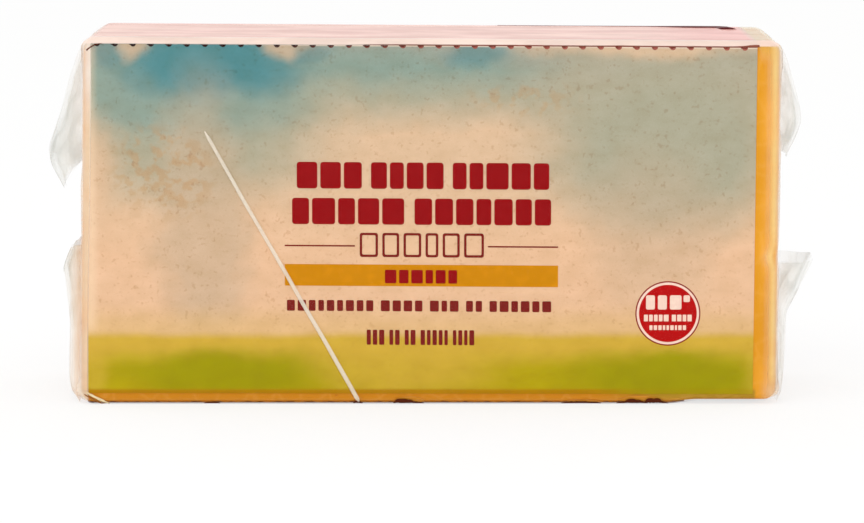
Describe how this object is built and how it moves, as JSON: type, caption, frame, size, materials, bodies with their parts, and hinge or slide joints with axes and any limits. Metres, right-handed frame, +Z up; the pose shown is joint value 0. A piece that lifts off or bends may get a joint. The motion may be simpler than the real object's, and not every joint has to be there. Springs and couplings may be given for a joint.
{
  "type": "vacuum-packed cheddar block",
  "caption": "Block of yellow cheddar standing on its long edge in clear vacuum film, with a printed landscape label, a red wrap-round label and folded film ears at both ends.",
  "frame": {"origin": "on the table under the middle of the block's long narrow resting face", "axes": "+X along the block towards its right end seen from the front, +Y from the printed front to the back, +Z up"},
  "size_m": [0.1962, 0.0536, 0.0926],
  "materials": {
    "cheddar": "dense, slightly oily cut cheese",
    "printed_film_landscape": "glossy printed label film",
    "printed_film_red": "glossy printed label film",
    "clear_film": "clear glossy packing film"
  },
  "bodies": {
    "root": {"cheese": "cheddar", "front_label": "printed_film_landscape", "wrap_label": "printed_film_red", "film": "clear_film"}
  },
  "joints": []
}
